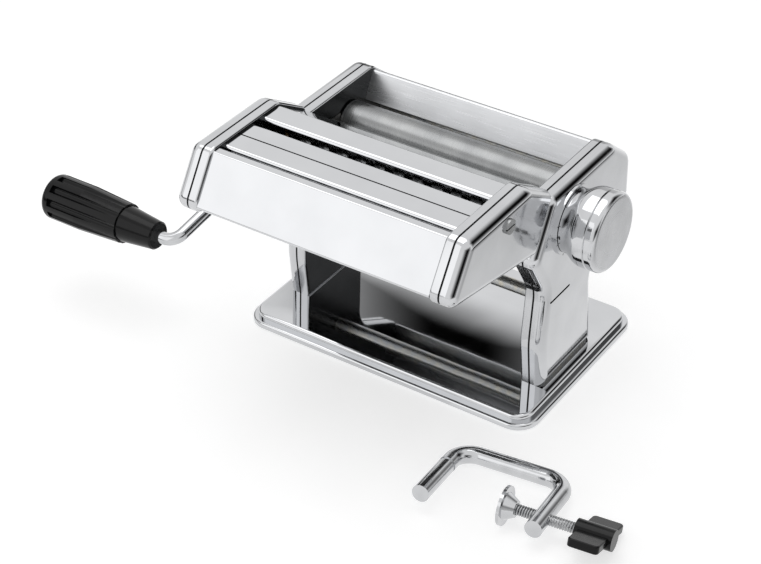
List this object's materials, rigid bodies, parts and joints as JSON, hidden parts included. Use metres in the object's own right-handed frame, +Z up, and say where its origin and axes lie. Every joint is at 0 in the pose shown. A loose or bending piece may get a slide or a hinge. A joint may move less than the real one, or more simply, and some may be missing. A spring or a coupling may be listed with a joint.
{
  "type": "pasta roller machine",
  "caption": "Hand-cranked plated steel pasta roller with a double cutter, thickness knob, crank and table clamp.",
  "frame": {"origin": "on the table under the middle of the base plate's width, near the middle of its depth", "axes": "+X across the machine to the knob's side, +Y to the rear, away from the cutter, +Z up"},
  "size_m": [0.4228, 0.221, 0.1605],
  "materials": {
    "plated_sheet": "mirror plated pressed steel",
    "plated_knob": "mirror plated, turned",
    "plated_rod": "bright plated bent rod",
    "roller_steel": "satin turned",
    "cutter_steel": "satin turned",
    "gear_steel": "machined",
    "fastener_steel": "zinc plated",
    "bearing_bronze": "sintered",
    "scraper_nylon": "moulded",
    "seam_black": "moulded",
    "grip_black": "moulded",
    "hub_plastic": "moulded",
    "foot_rubber": "moulded"
  },
  "bodies": {
    "machine": {"base_plate": "plated_sheet", "rubber_feet": "foot_rubber", "base_screws": "fastener_steel", "leg_blocks": "fastener_steel", "right_side_frame": "plated_sheet", "left_side_frame": "plated_sheet", "right_side_cover": "plated_sheet", "left_side_cover": "plated_sheet", "side_seams": "seam_black", "clamp_guide": "fastener_steel", "tie_rods": "fastener_steel", "tie_rod_nuts": "fastener_steel", "rear_cover": "plated_sheet", "front_guard": "plated_sheet", "guide_rails": "fastener_steel", "drive_roller_bushes": "bearing_bronze", "rear_scraper": "scraper_nylon", "cam_bush": "bearing_bronze", "index_ring": "plated_sheet"},
    "drive_roller": {"drive_roller": "roller_steel", "drive_gear": "gear_steel"},
    "bearing_carriage": {"left_bearing_block": "gear_steel", "right_bearing_block": "gear_steel", "front_scraper": "scraper_nylon"},
    "front_roller": {"front_roller": "roller_steel", "front_gear": "gear_steel"},
    "cam_shaft": {"cam_shaft": "gear_steel", "shaft_washer": "fastener_steel", "knob_spring": "fastener_steel"},
    "knob": {"thickness_knob": "plated_knob", "knob_hub": "hub_plastic"},
    "crank": {"crank_rod": "plated_rod"},
    "grip": {"crank_grip": "grip_black", "grip_cap": "grip_black"},
    "cutter": {"cutter_right_frame": "plated_sheet", "cutter_left_frame": "plated_sheet", "cutter_right_cover": "plated_sheet", "cutter_left_cover": "plated_sheet", "cutter_seams": "seam_black", "cutter_bushes": "bearing_bronze", "cutter_posts": "fastener_steel", "cutter_cover_screws": "fastener_steel", "cutter_front_plate": "plated_sheet", "cutter_mid_plates": "plated_sheet", "cutter_rear_plate": "plated_sheet", "cutter_scrapers": "scraper_nylon", "cutter_tongues": "fastener_steel"},
    "wide_follower": {"wide_follower_roller": "cutter_steel", "wide_follower_gear": "gear_steel"},
    "wide_driver": {"wide_driver_roller": "cutter_steel", "wide_driver_gear": "gear_steel"},
    "narrow_driver": {"narrow_driver_roller": "cutter_steel", "narrow_driver_gear": "gear_steel"},
    "narrow_follower": {"narrow_follower_roller": "cutter_steel", "narrow_follower_gear": "gear_steel"},
    "clamp": {"clamp_frame": "plated_rod"},
    "clamp_pad": {"clamp_pad": "plated_rod"},
    "clamp_screw": {"clamp_screw": "plated_rod", "wing_knob": "grip_black"}
  },
  "joints": [
    {"name": "drive_turn", "type": "hinge", "parent": "machine", "child": "drive_roller", "pos_m": [0, 0.019, 0.113], "axis": [1, 0, 0], "continuous": true},
    {"name": "knob_turn", "type": "hinge", "parent": "machine", "child": "cam_shaft", "pos_m": [0, -0.0034, 0.114], "axis": [1, 0, 0], "range_deg": [0, 288]},
    {"name": "knob_pull", "type": "slide", "parent": "cam_shaft", "child": "knob", "axis": [1, 0, 0], "range_m": [0, 0.005], "stiffness_N_per_m": 600, "deforming": ["knob_spring"]},
    {"name": "roller_gap", "type": "slide", "parent": "machine", "child": "bearing_carriage", "axis": [0, -1, 0], "range_m": [0, 0.0025]},
    {"name": "front_turn", "type": "hinge", "parent": "bearing_carriage", "child": "front_roller", "pos_m": [0, -0.0075, 0.113], "axis": [1, 0, 0], "continuous": true},
    {"name": "crank_pull", "type": "slide", "parent": "drive_roller", "child": "crank", "axis": [-1, 0, 0], "range_m": [0, 0.02]},
    {"name": "grip_turn", "type": "hinge", "parent": "crank", "child": "grip", "pos_m": [0, -0.08885, 0.06271], "axis": [1, 0, 0], "continuous": true},
    {"name": "cutter_lift", "type": "slide", "parent": "machine", "child": "cutter", "axis": [0, 0.5, 0.866], "range_m": [0, 0.06]},
    {"name": "wide_turn", "type": "hinge", "parent": "cutter", "child": "wide_driver", "pos_m": [0, -0.09424, 0.1363], "axis": [1, 0, 0], "continuous": true},
    {"name": "wide_mate_turn", "type": "hinge", "parent": "cutter", "child": "wide_follower", "pos_m": [0, -0.1093, 0.1395], "axis": [1, 0, 0], "continuous": true},
    {"name": "narrow_turn", "type": "hinge", "parent": "cutter", "child": "narrow_driver", "pos_m": [0, -0.07761, 0.13276], "axis": [1, 0, 0], "continuous": true},
    {"name": "narrow_mate_turn", "type": "hinge", "parent": "cutter", "child": "narrow_follower", "pos_m": [0, -0.06255, 0.12956], "axis": [1, 0, 0], "continuous": true},
    {"name": "clamp_lift", "type": "slide", "parent": "machine", "child": "clamp", "axis": [0, 0, 1], "range_m": [0, 0.08]},
    {"name": "clamp_feed", "type": "slide", "parent": "clamp", "child": "clamp_pad", "axis": [-0.9925, -0.1219, 0], "range_m": [-0.009, 0.014]},
    {"name": "clamp_screw_turn", "type": "hinge", "parent": "clamp_pad", "child": "clamp_screw", "pos_m": [0.16199, -0.12821, 0.0115], "axis": [-0.9925, -0.1219, 0], "range_deg": [-2165, 3365]}
  ],
  "couplings": [
    {"joint": "front_turn", "follows": "drive_turn", "ratio": -1},
    {"joint": "knob_turn", "follows": "roller_gap", "rad_per_m": 2010.6},
    {"joint": "wide_mate_turn", "follows": "wide_turn", "ratio": -1},
    {"joint": "narrow_mate_turn", "follows": "narrow_turn", "ratio": -1},
    {"joint": "clamp_screw_turn", "follows": "clamp_feed", "rad_per_m": 4188.8}
  ]
}
